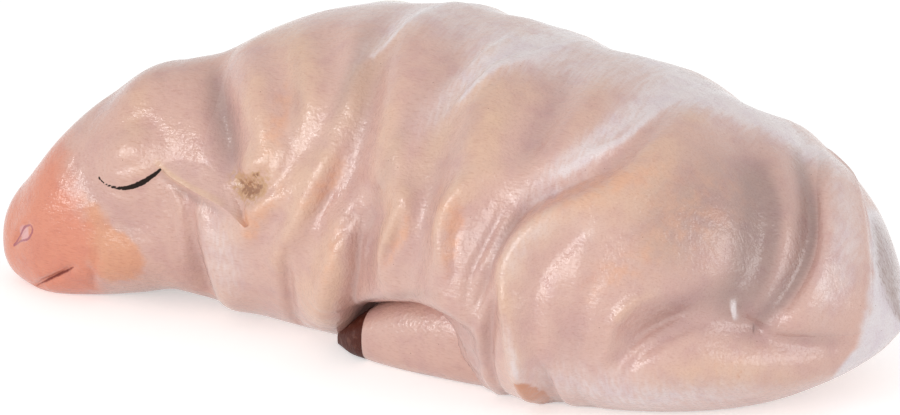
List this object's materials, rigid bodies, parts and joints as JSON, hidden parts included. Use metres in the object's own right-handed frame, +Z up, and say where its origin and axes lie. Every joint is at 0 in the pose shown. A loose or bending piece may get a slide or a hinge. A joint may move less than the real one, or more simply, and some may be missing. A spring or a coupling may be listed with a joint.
{
  "type": "animal figurine",
  "caption": "Carved and painted wooden figurine of a sleeping sheep that lies with its chin on the ground and its wool in long folds.",
  "frame": {"origin": "middle of the footprint box, on the surface that the figurine rests on", "axes": "+Z up, the body lies along X with the nose towards -X, and the left flank faces -Y"},
  "size_m": [0.1, 0.0416, 0.0349],
  "materials": {
    "fleece_paint": "carved wood, thin pinkish cream paint under satin varnish",
    "face_paint": "carved wood, cream paint with a salmon muzzle, satin varnish",
    "ear_paint": "carved wood, pinkish cream paint under satin varnish",
    "leg_paint": "carved wood, pinkish cream paint under satin varnish",
    "hoof_paint": "carved wood, dark brown paint under satin varnish"
  },
  "bodies": {
    "root": {"fleece_body": "fleece_paint", "head": "face_paint", "left_ear": "ear_paint", "right_ear": "ear_paint", "tail": "fleece_paint", "left_hind_leg": "leg_paint", "left_hind_hoof": "hoof_paint", "right_foreleg": "leg_paint", "right_fore_hoof": "hoof_paint"}
  },
  "joints": []
}
